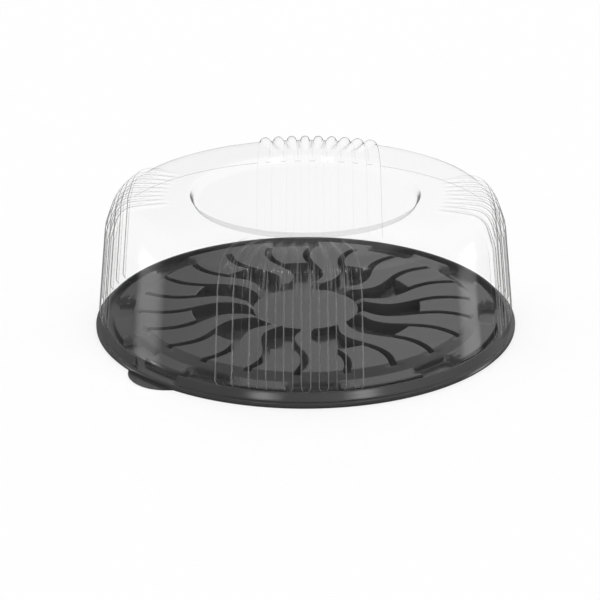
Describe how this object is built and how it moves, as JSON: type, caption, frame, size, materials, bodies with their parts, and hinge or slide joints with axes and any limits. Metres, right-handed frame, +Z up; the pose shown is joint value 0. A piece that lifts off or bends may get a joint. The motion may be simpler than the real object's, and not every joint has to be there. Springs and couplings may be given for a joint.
{
  "type": "cake container",
  "caption": "Round cake container: a low black tray embossed with a wavy sunburst, under a clear domed lid with groups of upright flutes and a sunken top panel. The lid lifts off.",
  "frame": {"origin": "middle of the tray, on the surface that the container stands on", "axes": "+Z up along the container's axis, the lid's flute groups along +X, -X, +Y and -Y, the front along -Y"},
  "size_m": [0.265, 0.265, 0.088],
  "materials": {
    "black_tray": "satin gloss",
    "clear_lid": "clear gloss"
  },
  "bodies": {
    "tray": {"base_tray": "black_tray"},
    "lid": {"dome_lid": "clear_lid"}
  },
  "joints": [
    {"name": "lid_lift", "type": "slide", "parent": "tray", "child": "lid", "axis": [0, 0, 1], "range_m": [0, 0.12]}
  ]
}
